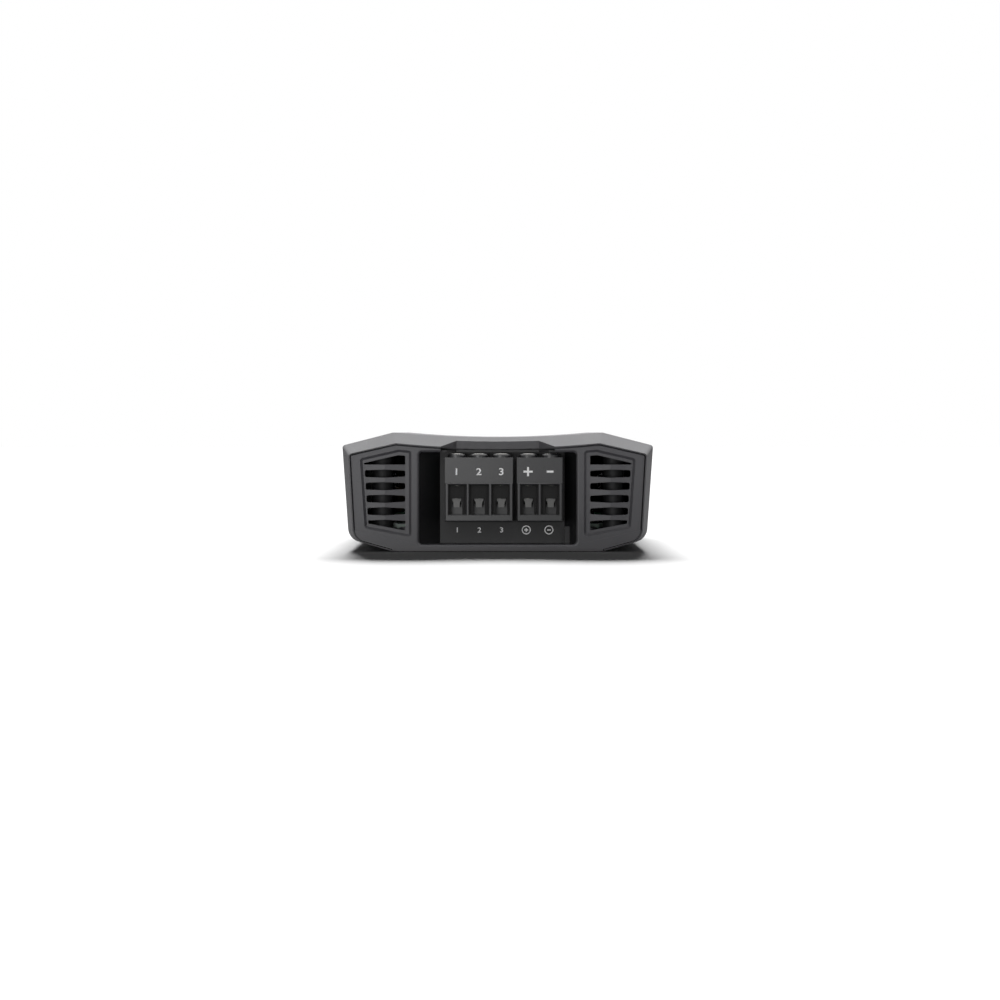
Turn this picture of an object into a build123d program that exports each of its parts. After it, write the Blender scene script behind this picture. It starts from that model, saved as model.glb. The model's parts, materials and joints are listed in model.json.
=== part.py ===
"""A compact car amplifier: a cast aluminium case with a moulded cap at each end.

Frame: +Z up, +X to the right as seen from the plug end, and the plug end faces -Y.  The
origin is at the middle of the underside.  Sizes are in millimetres.  "depth" is always a
distance inwards from the rim of one end of the case.
"""

from build123d import *
from collections import namedtuple
import math
import os

os.makedirs("parts", exist_ok=True)

# ---------------------------------------------------------------- driving dimensions
case_length = 180.0
case_width = 107.0
case_height = 40.5

crest_in = 17.5          # shoulder edge to the crest line, across the case
valley_drop = 1.7        # the top is hollow between its two crests
shoulder_drop = 4.5      # crest down to the shoulder edge
side_lean = 2.2          # the sides lean in towards the bottom
toe_in = 17.5            # shoulder edge to where the flat underside starts
toe_rise = 3.7           # how far the lower chamfer climbs to the side
crest_radius = 2.0
shoulder_radius = 1.2
foot_radius = 5.0

bevel_length = 14.0      # each end of the case tapers to its rim over this length
rim_drop = 3.6           # taper of the top
rim_inset = 2.8          # taper of the sides
rim_lift = 0.3           # underside of the rim above the floor
rim_lip = 0.4            # wall of the case at the rim
case_wall = 4.5          # wall of the case between the tapers

cap_gap = 0.2            # joint line between case and end cap
cap_setback = 0.8        # face of the cap behind the rim
cap_face = 2.4           # thickness of the cap's face
cap_skirt = 1.6          # wall of the cap's skirts
cap_chamfer = 0.25
lip_reach = 0.35         # the cap's lower lip stands in front of its face
lip_height = 3.4         # height of that lip at the side
mid_lip_height = 1.9     # and under the bay

bay_half = 26.7          # half width of the bay at the cap's face
bay_bottom = 2.5
front_bay_clear = 1.8    # top of the plugs to the ceiling of their bay
rear_bay_top = 32.6
bay_corner = 1.2
bay_edge = 0.9           # rounding of the bay's upright edges
bay_wall = 1.0
bay_ceiling = 0.7
bay_panel_depth = 12.4   # front of the bay's back panel
bay_panel = 1.5          # thickness of that panel
front_bay_left_gap = 1.9    # bay's side to the plugs at its back panel
front_bay_right_gap = 1.0
rear_bay_half = 22.5

notch_half = 19.4        # cut in the case's top edge over the plugs, at the rim
notch_back_half = 14.1
notch_depth = 8.5

pillar = 2.6             # cap face between the bay and the grille field
field_inset = 3.9        # rim shoulder to the grille field, sideways
field_sink = 1.0
field_corner = 1.2
field_bevel = 40.0       # degrees
slot_rows = 6
slot_margin_in = 2.1     # grille field to the slots
slot_margin_out = 1.3
slot_margin_edge = 1.85
slot_waist = 1.4         # half height of a slot in its middle
slot_in_end = 1.0        # half height of a slot at its end by the bay
slot_out_end = 1.18      # and at its outer end
slot_corner = 0.6
slot_tip = 0.25          # corners of the outer two slots
slot_base = 9.45         # middle of the lowest slot
rib_rise = 0.8           # the grille bars rise to a crease in their middle

pitch = 7.62             # pole to pole in the plugs
plug_margin = 0.1        # plug end beyond its last half pitch
plug_space = 1.38        # from plug to plug
first_pole_x = -14.0
plug_bottom = 10.3
plug_height = 21.7
plug_setback = 0.4       # front of the wire entries behind the rim
label_setback = 1.5      # front of the label face behind the rim
plug_stop = 0.4          # back of the plug's body to the bay's panel
plug_edge = 0.8
plug_chamfer = 0.3       # edges of the wire entries and of the front
step_rise = 0.55         # forward part of the plug above its wire entries
nose_length = 7.0
nose_rise = 2.7          # underside of the nose above the underside of the plug
nose_height = 8.5
nose_in = 0.9
nose_gap = 0.3
plug_travel = 12.0

entry_wall = 1.25        # plastic at each end of the plug's row of wire entries
entry_divider = 1.1      # and between two entries
entry_rise = 2.25        # floor of an entry above the underside of the plug
entry_height = 10.2
entry_depth = 1.8

screw_setback = 5.0      # terminal screw axis behind the rim
screw_radius = 1.5
screw_head_radius = 2.35
screw_head_height = 1.5
screw_head_rise = 1.3    # the backed-out head stands above the plug
screw_pin_radius = 0.8
screw_pin_length = 1.5
thread_gap = 0.03
collar_radius = 3.1
collar_rise = 1.2
collar_chamfer = 0.45
well_radius = 2.5
well_depth = 2.8
cage_half = 2.7
cage_length = 5.6
cage_rise = 1.0          # underside of the cage above the underside of the plug
cage_height = 11.1
cage_floor = 1.1
chamber_half = 1.95
chamber_height = 5.6
foot_top_half = 1.55
foot_neck_half = 1.12
foot_tip_half = 1.0
foot_flange = 0.6        # straight upper part of the foot
foot_taper = 0.5         # below it the foot narrows over this height
foot_height = 2.9
foot_thickness = 3.0
foot_groove = 0.12       # grip lines across the foot's front
foot_grooves = 4
foot_groove_pitch = 0.42
foot_groove_width = 0.18
foot_groove_start = 0.33    # first grip line above the foot's tip
sleeve_half = 1.5
pin_width = 1.2
pin_height = 1.0
pin_gap = 0.06
pin_start = 3.0          # tip of a header pin behind the plug's body
fit_gap = 0.05           # pieces pushed together by hand or by press
window_gap = 0.3         # loose clearance round what passes through a panel

board_top = 9.0
board_thickness = 1.6
board_in = 8.5           # case side to the edges of the board
board_clear = 1.1        # bay panels to the ends of the board
board_gap = 0.1

column_in = 13.5         # case side to the mounting columns
column_setback = 20.0
column_radius = 3.6
mount_hole_radius = 2.25
mount_head_radius = 4.2
mount_head_depth = 3.0

hanger_x = 27.0          # bosses that hold the board
hanger_setback = 32.0
hanger_radius = 3.0
small_screw_radius = 1.25
small_head_radius = 2.4
small_head_height = 1.2
screw_gap = 0.05

cover_setback = 3.4
cover_thickness = 1.5
cover_gap = 0.15
ledge_width = 5.0        # ledges that the cover screws to
cover_screw_in = 2.8     # edge of the cover to its screws
cover_screw_setback = 28.0
cover_screw_length = 6.0
cap_screw_in = 5.0
cap_screw_setback = 9.0
cap_boss_radius = 2.6
cap_boss_top = 8.0
insulator_thickness = 0.4

trim_length = 150.0      # trim panel let into the right side
trim_top = 22.2
trim_low = 5.2
trim_sink = 1.1
trim_inset = 0.5         # face of the panel behind the case's side
trim_rib_rise = 0.1      # crest of its ribs in front of the case's side
trim_ribs = (19.05, 15.05)
trim_rib_height = 1.7

# ---------------------------------------------------------------- derived sizes
half_length = case_length / 2
half_width = case_width / 2
socket_inset = rim_lip + cap_gap

Section = namedtuple(
    "Section", "crest_x crest_z valley_z shoulder_x shoulder_z foot_x foot_z toe_x toe_z"
)
main_section = Section(
    half_width - crest_in, case_height, case_height - valley_drop,
    half_width, case_height - shoulder_drop,
    half_width - side_lean, toe_rise,
    half_width - toe_in, 0.0,
)
rim_section = Section(
    half_width - crest_in - rim_inset / 2, case_height - rim_drop,
    case_height - rim_drop - valley_drop,
    half_width - rim_inset, case_height - shoulder_drop - rim_inset,
    half_width - rim_inset - side_lean + 2 * rim_lift, toe_rise + rim_lift,
    half_width - toe_in, rim_lift,
)
case_roof = main_section.valley_z - case_wall
cover_half = main_section.toe_x
ledge_half = cover_half - ledge_width
cover_screw_x = cover_half - cover_screw_in
cap_screw_x = cover_half - cap_screw_in
bay_back_depth = bay_panel_depth + bay_panel
bay_mouth_depth = cap_setback + cap_face + fit_gap
board_half = half_width - board_in
board_setback = bay_back_depth + board_clear
socket_length = max(bevel_length, bay_back_depth + window_gap)

plug_top = plug_bottom + plug_height
plug_back = bay_panel_depth - plug_stop
pin_setback = plug_back + pin_start
front_bay_top = plug_top + front_bay_clear
nose_low = plug_bottom + nose_rise
nose_high = nose_low + nose_height
pin_z = (nose_low + nose_high) / 2
cage_low = plug_bottom + cage_rise
cage_high = cage_low + cage_height
chamber_low = cage_low + cage_floor
chamber_high = chamber_low + chamber_height
entry_low = plug_bottom + entry_rise
entry_high = entry_low + entry_height
step_z = entry_high + step_rise
header_back = plug_back + nose_length + 5.0

Plug = namedtuple("Plug", "name first_x poles")
power_plug = Plug("power", first_pole_x, 3)
speaker_plug = Plug("speaker", first_pole_x + 3 * pitch + 2 * plug_margin + plug_space, 2)
plugs = [power_plug, speaker_plug]


def pole_places(plug):
    """X of each pole of a plug."""
    return [plug.first_x + index * pitch for index in range(plug.poles)]


def plug_span(plug):
    """X of the two ends of a plug."""
    reach = pitch / 2 + plug_margin
    return plug.first_x - reach, pole_places(plug)[-1] + reach


front_bay_left = -plug_span(power_plug)[0] + front_bay_left_gap
front_bay_right = plug_span(speaker_plug)[1] + front_bay_right_gap


def front(depth):
    """Y of a plane at this depth behind the plug end's rim."""
    return depth - half_length


def rear(depth):
    """Y of a plane at this depth behind the control end's rim."""
    return half_length - depth


def end_plane(depth):
    """Drawing plane at this depth at the plug end: local X is X and local Y is Z."""
    return Plane.XZ.offset(half_length - depth)


# ---------------------------------------------------------------- building helpers
def box(low, high, mode=Mode.ADD):
    """A box from its lowest to its highest corner."""
    middle = tuple((a + b) / 2 for a, b in zip(low, high))
    with Locations(middle):
        Box(*[b - a for a, b in zip(low, high)], mode=mode)


def upright(x, y, low, high, radius, mode=Mode.ADD):
    """A vertical cylinder."""
    with Locations((x, y, low)):
        Cylinder(radius, high - low, align=(Align.CENTER, Align.CENTER, Align.MIN), mode=mode)


def lengthwise(x, z, y_low, y_high, radius, mode=Mode.ADD):
    """A cylinder along Y."""
    with Locations(Location((x, y_low, z), (-90, 0, 0))):
        Cylinder(radius, y_high - y_low, align=(Align.CENTER, Align.CENTER, Align.MIN), mode=mode)


def sideways(y, z, x_low, x_high, radius, mode=Mode.ADD):
    """A cylinder along X."""
    with Locations(Location((x_low, y, z), (0, 90, 0))):
        Cylinder(radius, x_high - x_low, align=(Align.CENTER, Align.CENTER, Align.MIN), mode=mode)


def countersunk(x, y, length, mode=Mode.ADD, gap=0.0):
    """A countersunk screw from the underside, or with a gap its hole."""
    upright(x, y, 0, length, small_screw_radius + gap, mode)
    with Locations((x, y, 0)):
        Cone(small_head_radius + gap, small_screw_radius + gap, small_head_height,
             align=(Align.CENTER, Align.CENTER, Align.MIN), mode=mode)


def corners_at(sketch, points):
    """The sketch's corners nearest to these places in space."""
    return [sketch.vertices().sort_by_distance(point)[0] for point in points]


def case_face(section, depth, inset=0.0):
    """The case's outline as a face at this depth, with its corners rounded."""
    s = section
    with BuildSketch(end_plane(depth)) as face:
        with BuildLine():
            ThreePointArc((-s.crest_x, s.crest_z), (0, s.valley_z), (s.crest_x, s.crest_z))
            Polyline(
                (s.crest_x, s.crest_z), (s.shoulder_x, s.shoulder_z), (s.foot_x, s.foot_z),
                (s.toe_x, s.toe_z), (-s.toe_x, s.toe_z), (-s.foot_x, s.foot_z),
                (-s.shoulder_x, s.shoulder_z), (-s.crest_x, s.crest_z),
            )
        make_face()
        for x, z, radius in (
            (s.crest_x, s.crest_z, crest_radius),
            (s.shoulder_x, s.shoulder_z, shoulder_radius),
            (s.foot_x, s.foot_z, foot_radius),
        ):
            fillet(corners_at(face, [(-x, z), (x, z)]), radius)
        if inset:
            offset(amount=-inset, mode=Mode.REPLACE)
    return face.sketch


def plan_prism(points, low, high, mode=Mode.ADD):
    """A prism that stands on a polygon given in X and Y."""
    with BuildSketch(Plane.XY.offset(low)) as plan:
        with BuildLine():
            Polyline(*points, close=True)
        make_face()
    extrude(plan.sketch, amount=high - low, mode=mode)


def save(builder, label):
    """Names a finished piece and writes it."""
    builder.part.label = label
    export_step(builder.part, f"parts/{label}.step")


# ---------------------------------------------------------------- case
column_x = half_width - column_in
ends = (front, rear)
columns = [(x, end(column_setback)) for x in (-column_x, column_x) for end in ends]
hangers = [(x, end(hanger_setback)) for x in (-hanger_x, hanger_x) for end in ends]
cover_screws = [
    (x, y) for x in (-cover_screw_x, cover_screw_x)
    for y in (front(cover_screw_setback), 0, rear(cover_screw_setback))
]
cap_screws = [(x, end(cap_screw_setback)) for x in (-cap_screw_x, cap_screw_x) for end in ends]

side_slope = math.degrees(math.atan2(
    main_section.shoulder_x - main_section.foot_x, main_section.shoulder_z - main_section.foot_z
))
trim_z = (trim_top + trim_low) / 2
trim_height = trim_top - trim_low
trim_x = main_section.foot_x + (trim_z - toe_rise) * math.tan(math.radians(side_slope))
side_plane = Plane(
    origin=(trim_x, 0, trim_z), x_dir=(0, 1, 0),
    z_dir=(math.cos(math.radians(side_slope)), 0, -math.sin(math.radians(side_slope))),
)

notch_plan = [
    (-notch_half - 1, front(-1)), (notch_half + 1, front(-1)), (notch_half, front(0)),
    (notch_back_half, front(notch_depth)), (-notch_back_half, front(notch_depth)),
    (-notch_half, front(0)),
]

transistor_rows = (-24.0, -8.0, 8.0, 24.0)
clamp_screw_rows = (-16.0, 0.0, 16.0)
heat_pad_x = half_width - 8.0        # inner face of the cast pad that cools the transistors
heat_pad_half = 33.0
heat_pad_low = 12.5
heat_pad_high = 29.0
heat_sheet = 0.3
transistor_thickness = 4.4
clamp_thickness = 1.5
clamp_screw_z = 22.0

with BuildPart() as case:
    main_length = case_length - 2 * bevel_length
    rim = case_face(rim_section, 0)
    shoulder = case_face(main_section, bevel_length)
    loft([rim, shoulder], ruled=True)
    mirror(about=Plane.XZ)
    extrude(shoulder, amount=-main_length)
    # sockets for the end caps, then the cavity between them
    extrude(case_face(rim_section, 0, rim_lip), amount=-socket_length, mode=Mode.SUBTRACT)
    extrude(case_face(rim_section, case_length, rim_lip), amount=socket_length, mode=Mode.SUBTRACT)
    extrude(case_face(main_section, bevel_length, case_wall), amount=-main_length, mode=Mode.SUBTRACT)
    for x, y in columns:
        upright(x, y, toe_rise, case_height - shoulder_drop, column_radius)
    for x, y in hangers:
        upright(x, y, board_top, case_roof + 1, hanger_radius)
    for side in (-1, 1):
        near_x, far_x = sorted((side * heat_pad_x, side * (half_width - side_lean - 1)))
        box((near_x, -heat_pad_half, heat_pad_low), (far_x, heat_pad_half, heat_pad_high))
    # opening for the bottom cover
    box((-cover_half, -half_length, -1), (cover_half, half_length, cover_thickness), Mode.SUBTRACT)
    box((-ledge_half, -half_length, -1), (ledge_half, half_length, board_top - board_thickness),
        Mode.SUBTRACT)
    plan_prism(notch_plan, plug_top, case_height + 1, Mode.SUBTRACT)
    with BuildSketch(side_plane) as trim_pocket:
        Rectangle(trim_length, trim_height)
    extrude(amount=-trim_sink, mode=Mode.SUBTRACT)
    for x, y in columns:
        upright(x, y, -1, case_height, mount_hole_radius, Mode.SUBTRACT)
        upright(x, y, case_height - shoulder_drop, case_height, mount_head_radius, Mode.SUBTRACT)
    for x, y in hangers:
        upright(x, y, board_top - 1, board_top + 8, small_screw_radius + screw_gap, Mode.SUBTRACT)
    for x, y in cover_screws:
        upright(x, y, 0, cover_screw_length, small_screw_radius + screw_gap, Mode.SUBTRACT)
    for side in (-1, 1):
        near_x, far_x = sorted((side * (heat_pad_x - 1), side * (heat_pad_x + 5)))
        for y in clamp_screw_rows:
            sideways(y, clamp_screw_z, near_x, far_x, small_screw_radius + screw_gap, Mode.SUBTRACT)
save(case, "case")

with BuildPart() as side_trim:
    with BuildSketch(side_plane.offset(-trim_sink)):
        Rectangle(trim_length - 2 * cap_gap, trim_height - 2 * cap_gap)
    extrude(amount=trim_sink - trim_inset)
    for rib_z in trim_ribs:
        with BuildSketch(side_plane.offset(-trim_sink)) as rib:
            with Locations((0, rib_z - trim_z)):
                SlotOverall(trim_length - 2 * trim_rib_height, trim_rib_height)
        extrude(amount=trim_sink + trim_rib_rise)
save(side_trim, "side_trim")

# ---------------------------------------------------------------- underside
cover_x = cover_half - cover_gap
with BuildPart() as bottom_cover:
    box((-cover_x, front(cover_setback), 0), (cover_x, rear(cover_setback), cover_thickness))
    fillet(bottom_cover.edges().filter_by(Axis.Z), 1.5)
    for x, y in cover_screws + cap_screws:
        countersunk(x, y, cover_thickness + 1, Mode.SUBTRACT, screw_gap)
save(bottom_cover, "bottom_cover")

sheet_half = ledge_half - 1.0
with BuildPart() as insulator_sheet:
    box((-sheet_half, front(bay_back_depth + 2), cover_thickness),
        (sheet_half, rear(bay_back_depth + 2), cover_thickness + insulator_thickness))
save(insulator_sheet, "insulator_sheet")

drive_width = 0.6
for label, places in (("cover_screws", cover_screws), ("end_cap_screws", cap_screws)):
    with BuildPart() as fasteners:
        for x, y in places:
            countersunk(x, y, cover_screw_length)
        for x, y in places:
            for turn in (0, 90):
                with Locations(Location((x, y, 0), (0, 0, turn))):
                    Box(2.6, drive_width, 1.2, mode=Mode.SUBTRACT)
    save(fasteners, label)

# ---------------------------------------------------------------- end caps
slot_pitch = (rim_section.shoulder_z - 7.6) / slot_rows
field_in = bay_half + pillar
field_top_in = (rim_section.crest_x - 1.0, rim_section.crest_z - 2.2)
field_top_out = (rim_section.shoulder_x - field_inset, rim_section.shoulder_z - 1.5)
field_low_out = (rim_section.foot_x - field_inset, rim_section.foot_z + field_inset)
field_low_in = (field_in, rim_section.toe_z + 4.6)
field_points = [
    (field_in, rim_section.crest_z - 2.6), field_top_in, field_top_out, field_low_out, field_low_in
]


def between(start, end, x):
    """Height at x of the straight line from start to end."""
    return start[1] + (end[1] - start[1]) * (x - start[0]) / (end[0] - start[0])


def side_at(z):
    """X of the outer side of the grille field at a height."""
    share = (z - field_low_out[1]) / (field_top_out[1] - field_low_out[1])
    return field_low_out[0] + share * (field_top_out[0] - field_low_out[0])


slot_in = field_in + slot_margin_in
slot_mid = (slot_in + side_at(slot_base) - slot_margin_out) / 2 + 0.6


def slot_points(row):
    """Corners of one grille slot: slots are barrel shaped, and the outer two are cut by the field."""
    z = slot_base + row * slot_pitch
    out = side_at(z) - slot_margin_out
    upper = [(slot_in, z + slot_in_end), (slot_mid, z + slot_waist), (out, z + slot_out_end)]
    lower = [(out, z - slot_out_end), (slot_mid, z - slot_waist), (slot_in, z - slot_in_end)]
    if row == 0:
        lower = [(x, between(field_low_in, field_low_out, x) + slot_margin_edge) for x in (out, slot_in)]
    if row == slot_rows - 1:
        knee = field_top_in[0] + 0.2
        crest = field_top_in[1] - slot_margin_edge - 0.05
        upper = [
            (slot_in, crest - 0.2), (knee, crest),
            (out, between(field_top_in, field_top_out, out) - slot_margin_edge - 0.05),
        ]
        lower = [(out, z - slot_waist + 0.2), (slot_in, z - slot_waist + 0.2)]
    return upper + lower


def end_cap(cap, bay_top):
    """Cuts and adds that both end caps share, drawn at the plug end."""
    depth = cap_setback
    skirt_depth = depth + cap_face
    skirt_length = bevel_length - skirt_depth - 0.1
    outline = case_face(rim_section, depth, socket_inset)
    extrude(outline, amount=-cap_face)
    chamfer(cap.faces().filter_by(Axis.Y).sort_by(Axis.Y)[0].edges(), cap_chamfer)
    box((-cover_half + cap_gap, front(depth), rim_lift), (cover_half - cap_gap, front(skirt_depth), 3.0))
    # skirts that fill the socket on both sides of the bay
    extrude(case_face(rim_section, skirt_depth, socket_inset), amount=-skirt_length)
    extrude(case_face(rim_section, skirt_depth, socket_inset + cap_skirt), amount=-skirt_length,
            mode=Mode.SUBTRACT)
    box((-field_in, front(skirt_depth), -1), (field_in, front(bevel_length), case_height), Mode.SUBTRACT)
    box((-cover_half, front(skirt_depth), -1), (cover_half, front(bevel_length), cover_thickness + fit_gap),
        Mode.SUBTRACT)
    for side in (-1, 1):
        place = (side * cap_screw_x, front(cap_screw_setback))
        upright(*place, cover_thickness + fit_gap, cap_boss_top, cap_boss_radius)
        upright(*place, 0, cap_boss_top - 1, small_screw_radius + screw_gap, Mode.SUBTRACT)
    with BuildSketch(end_plane(depth)) as window:
        with Locations((0, (bay_bottom + bay_top) / 2)):
            RectangleRounded(2 * bay_half, bay_top - bay_bottom, bay_corner)
    extrude(window.sketch, amount=-cap_face, mode=Mode.SUBTRACT)
    jambs = cap.edges().filter_by(Axis.Z).filter_by_position(Axis.Y, front(depth), front(depth))
    fillet(jambs.filter_by_position(Axis.X, -bay_half, bay_half), bay_edge)
    for side in (-1, 1):
        with BuildSketch(end_plane(depth)) as field:
            with BuildLine():
                Polyline(*[(side * x, z) for x, z in field_points], close=True)
            make_face()
            fillet(field.vertices(), field_corner)
        extrude(field.sketch, amount=-field_sink, taper=field_bevel, mode=Mode.SUBTRACT)
        # creased bars, then the slots between them
        crease = [
            (side * slot_in, front(depth + field_sink)),
            (side * slot_mid, front(depth + field_sink - rib_rise)),
            (side * (field_low_out[0] - slot_margin_out), front(depth + field_sink)),
        ]
        plan_prism(crease, slot_base, slot_base + (slot_rows - 1) * slot_pitch)
        for row in range(slot_rows):
            with BuildSketch(end_plane(depth)) as slot:
                with BuildLine():
                    Polyline(*[(side * x, z) for x, z in slot_points(row)], close=True)
                make_face()
                fillet(slot.vertices(), slot_corner if 0 < row < slot_rows - 1 else slot_tip)
            extrude(slot.sketch, amount=-cap_face, mode=Mode.SUBTRACT)
    lip_side = rim_section.foot_z + lip_height
    lip = [(half_width, lip_side + 1), (bay_half + 1.5, bay_bottom + 0.3), (bay_half, mid_lip_height)]
    with BuildSketch(end_plane(depth)) as lower_lip:
        add(outline)
        with BuildLine():
            Polyline(*lip, *[(-x, z) for x, z in reversed(lip)], (-half_width, -1), (half_width, -1),
                     close=True)
        make_face(mode=Mode.INTERSECT)
    extrude(lower_lip.sketch, amount=lip_reach)


with BuildPart() as front_end_cap:
    end_cap(front_end_cap, front_bay_top)
    box((-notch_half, front(0), front_bay_top - 1), (notch_half, front(bevel_length), case_height),
        Mode.SUBTRACT)
save(front_end_cap, "front_end_cap")

with BuildPart() as rear_end_cap:
    end_cap(rear_end_cap, rear_bay_top)
    mirror(about=Plane.XZ, mode=Mode.REPLACE)
save(rear_end_cap, "rear_end_cap")

# ---------------------------------------------------------------- bays
bay_low = cover_thickness + fit_gap


def bay_shell(left, right, top):
    """A tray open to the end: its sides close in towards its back panel."""
    out_left, out_right = -left - bay_wall, right + bay_wall
    outer = [
        (-bay_half - bay_wall, front(bay_mouth_depth)), (bay_half + bay_wall, front(bay_mouth_depth)),
        (out_right, front(bay_back_depth)), (out_left, front(bay_back_depth)),
    ]
    inner = [
        (-bay_half, front(bay_mouth_depth)), (bay_half, front(bay_mouth_depth)),
        (right, front(bay_panel_depth)), (-left, front(bay_panel_depth)),
    ]
    flange = bay_half + 2 * bay_wall
    plan_prism(outer, bay_low, top + bay_ceiling)
    box((-flange, front(bay_mouth_depth), bay_low), (flange, front(bay_mouth_depth + 1), top + bay_ceiling))
    plan_prism(inner, bay_bottom, top, Mode.SUBTRACT)


with BuildPart() as front_bay:
    bay_shell(front_bay_left, front_bay_right, front_bay_top)
    plan_prism(notch_plan, plug_top, case_height, Mode.SUBTRACT)
    for plug in plugs:
        low_x, high_x = plug_span(plug)
        gap = nose_in - window_gap
        box((low_x + gap, front(bay_panel_depth - 1), nose_low - window_gap),
            (high_x - gap, front(bay_back_depth + 1), nose_high + window_gap), Mode.SUBTRACT)
    # key rib at the foot of the right wall
    box((front_bay_right, front(bay_panel_depth - 4), bay_bottom),
        (front_bay_right + 2, front(bay_panel_depth), bay_bottom + 5.8))
save(front_bay, "front_bay")

# ---------------------------------------------------------------- plugs
header_wall = 1.2


def cage_holes(x, mode):
    """Space for one terminal's cage, its entry, its screw and its sleeve."""
    y = front(screw_setback)
    box((x - cage_half - fit_gap, y - cage_length / 2 - fit_gap, cage_low - fit_gap),
        (x + cage_half + fit_gap, y + cage_length / 2 + fit_gap, cage_high + fit_gap), mode)
    box((x - sleeve_half - fit_gap, y, pin_z - sleeve_half - fit_gap),
        (x + sleeve_half + fit_gap, front(plug_back + nose_length + 1), pin_z + sleeve_half + fit_gap), mode)
    upright(x, y, cage_high, plug_top, screw_radius + 2 * fit_gap, mode)
    upright(x, y, plug_top - well_depth, plug_top + collar_rise + 1, well_radius, mode)


for plug in plugs:
    low_x, high_x = plug_span(plug)
    poles = pole_places(plug)
    with BuildPart() as plug_body:
        with BuildSketch(Plane.YZ.offset(low_x)) as side:
            with BuildLine():
                Polyline(
                    (front(plug_setback), plug_bottom), (front(plug_setback), step_z),
                    (front(label_setback), step_z), (front(label_setback), plug_top),
                    (front(plug_back), plug_top), (front(plug_back), nose_high),
                    (front(plug_back + nose_length), nose_high),
                    (front(plug_back + nose_length), nose_low),
                    (front(plug_back), nose_low), (front(plug_back), plug_bottom), close=True,
                )
            make_face()
            chamfer(corners_at(side, [(low_x, front(label_setback), plug_top),
                                      (low_x, front(plug_back), plug_top)]), plug_edge)
        extrude(amount=high_x - low_x)
        chamfer(plug_body.faces().filter_by(Axis.Y).sort_by(Axis.Y)[0].edges(), plug_chamfer)
        for inner, outer in ((low_x - 1, low_x + nose_in), (high_x - nose_in, high_x + 1)):
            box((inner, front(plug_back), nose_low - 1), (outer, front(plug_back + nose_length + 1),
                nose_high + 1), Mode.SUBTRACT)
        for x in poles:
            upright(x, front(screw_setback), plug_top - plug_edge, plug_top + collar_rise, collar_radius)
        chamfer(plug_body.edges().group_by(Axis.Z)[-1], collar_chamfer)
        for x in poles:
            cage_holes(x, Mode.SUBTRACT)
            entry_left = max(x - (pitch - entry_divider) / 2, low_x + entry_wall)
            entry_right = min(x + (pitch - entry_divider) / 2, high_x - entry_wall)
            entry_width = entry_right - entry_left
            with BuildSketch(end_plane(plug_setback)) as mouth:
                with Locations((entry_left + entry_width / 2, entry_low + entry_height / 2)):
                    Rectangle(entry_width, entry_height)
            extrude(mouth.sketch, amount=-entry_depth, mode=Mode.SUBTRACT)
            with BuildSketch(end_plane(plug_setback)) as flare:
                add(mouth.sketch)
                offset(amount=plug_chamfer, kind=Kind.INTERSECTION)
            extrude(flare.sketch, amount=-plug_chamfer, taper=45, mode=Mode.SUBTRACT)
    save(plug_body, f"{plug.name}_plug")

    header_low_x, header_high_x = low_x + nose_in - nose_gap, high_x - nose_in + nose_gap
    with BuildPart() as header:
        box((header_low_x - header_wall, front(bay_back_depth + fit_gap), board_top),
            (header_high_x + header_wall, front(header_back), nose_high + nose_gap + header_wall))
        box((header_low_x, front(0), nose_low - nose_gap),
            (header_high_x, front(plug_back + nose_length + nose_gap), nose_high + nose_gap), Mode.SUBTRACT)
        for x in poles:
            box((x - pin_width / 2, front(0), pin_z - pin_height / 2),
                (x + pin_width / 2, front(header_back + 1), pin_z + pin_height / 2), Mode.SUBTRACT)
    save(header, f"{plug.name}_header")

    with BuildPart() as pins:
        for x in poles:
            box((x - pin_width / 2, front(pin_setback), pin_z - pin_height / 2),
                (x + pin_width / 2, front(header_back + 2), pin_z + pin_height / 2))
            box((x - pin_width / 2, front(header_back + 1), board_top - board_thickness - 1),
                (x + pin_width / 2, front(header_back + 2), pin_z + pin_height / 2))
    save(pins, f"{plug.name}_header_pins")

    for number, x in enumerate(poles, start=1):
        y = front(screw_setback)
        tip = chamber_high - fit_gap
        with BuildPart() as contact:
            box((x - cage_half, y - cage_length / 2, cage_low),
                (x + cage_half, y + cage_length / 2, cage_high))
            box((x - sleeve_half, y + cage_length / 2 - 0.5, pin_z - sleeve_half),
                (x + sleeve_half, front(plug_back + nose_length - 0.5), pin_z + sleeve_half))
            box((x - chamber_half, y - cage_length, chamber_low),
                (x + chamber_half, y + cage_length / 2, chamber_high), Mode.SUBTRACT)
            box((x - pin_width / 2 - pin_gap, front(pin_setback) - 1, pin_z - pin_height / 2 - pin_gap),
                (x + pin_width / 2 + pin_gap, front(plug_back + nose_length),
                 pin_z + pin_height / 2 + pin_gap), Mode.SUBTRACT)
            upright(x, y, chamber_high - 1, cage_high + 1, screw_radius + thread_gap, Mode.SUBTRACT)
        save(contact, f"{plug.name}_contact_{number}")

        with BuildPart() as screw:
            head_top = plug_top + screw_head_rise
            head_low = head_top - screw_head_height
            upright(x, y, head_low, head_top, screw_head_radius)
            fillet(screw.edges().sort_by(Axis.Z)[-1], 0.5)
            box((x - screw_head_radius, y - drive_width / 2, head_top - 0.8),
                (x + screw_head_radius, y + drive_width / 2, head_top), Mode.SUBTRACT)
            upright(x, y, tip, head_low, screw_radius)
            upright(x, y, tip - screw_pin_length, tip, screw_pin_radius)
        save(screw, f"{plug.name}_screw_{number}")

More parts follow.
